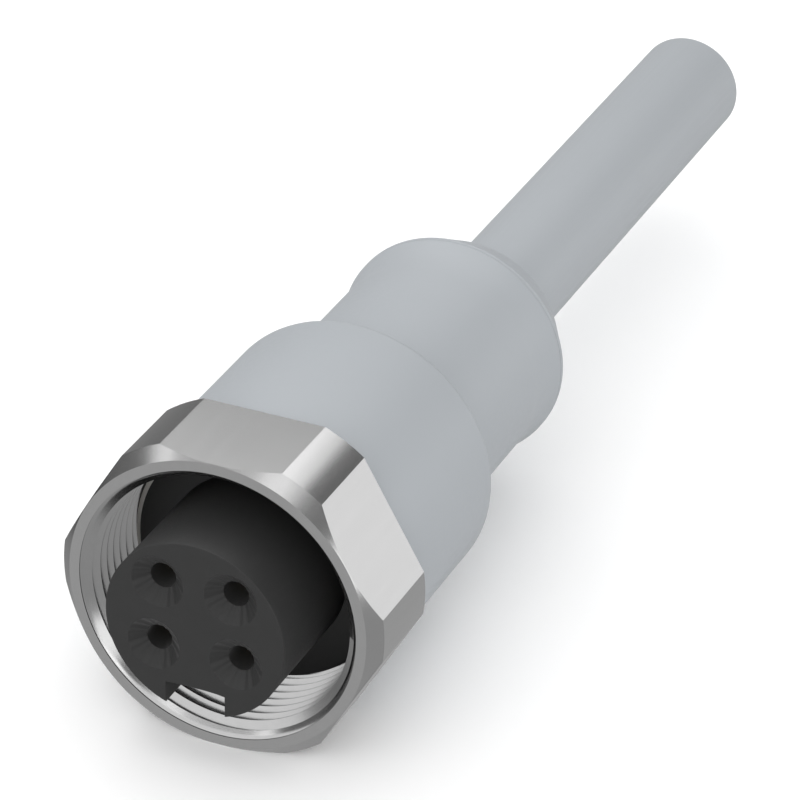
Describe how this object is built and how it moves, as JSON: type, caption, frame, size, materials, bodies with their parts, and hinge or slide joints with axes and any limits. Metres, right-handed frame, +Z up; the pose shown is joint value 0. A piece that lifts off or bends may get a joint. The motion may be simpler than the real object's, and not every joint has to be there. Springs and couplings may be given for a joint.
{
  "type": "seven-eighths inch circular power connector",
  "caption": "Straight female circular power connector with a hexagonal screw nut, a keyed black insert, and a grey moulded grip on a short cable.",
  "frame": {"origin": "centre of the coupling nut's front face", "axes": "+Y from the mating face along the cable, +Z up, away from the keyway"},
  "size_m": [0.026, 0.1001, 0.024],
  "materials": {
    "nut_metal": "satin",
    "carrier_plastic": "matte",
    "ring_steel": "satin",
    "contact_metal": "satin",
    "sleeve_steel": "satin",
    "copper": "satin",
    "insulation_brown": "matte",
    "insulation_white": "matte",
    "insulation_blue": "matte",
    "insulation_black": "matte",
    "inner_plastic": "matte",
    "filler_yarn": "matte",
    "grey_sheath": "satin",
    "grey_grip": "satin"
  },
  "bodies": {
    "connector": {"contact_carrier": "carrier_plastic", "friction_ring": "ring_steel", "contact_1": "contact_metal", "contact_2": "contact_metal", "contact_3": "contact_metal", "contact_4": "contact_metal", "contact_sleeve_1": "sleeve_steel", "contact_sleeve_2": "sleeve_steel", "contact_sleeve_3": "sleeve_steel", "contact_sleeve_4": "sleeve_steel", "conductor_1": "copper", "conductor_2": "copper", "conductor_3": "copper", "conductor_4": "copper", "wire_insulation_1": "insulation_brown", "wire_insulation_2": "insulation_white", "wire_insulation_3": "insulation_blue", "wire_insulation_4": "insulation_black", "inner_moulding": "inner_plastic", "cable_filler": "filler_yarn", "cable_jacket": "grey_sheath", "grip": "grey_grip"},
    "nut": {"coupling_nut": "nut_metal"}
  },
  "joints": [
    {"name": "nut_spin", "type": "hinge", "parent": "connector", "child": "nut", "pos_m": [0, 0, 0], "axis": [0, 1, 0], "continuous": true}
  ]
}
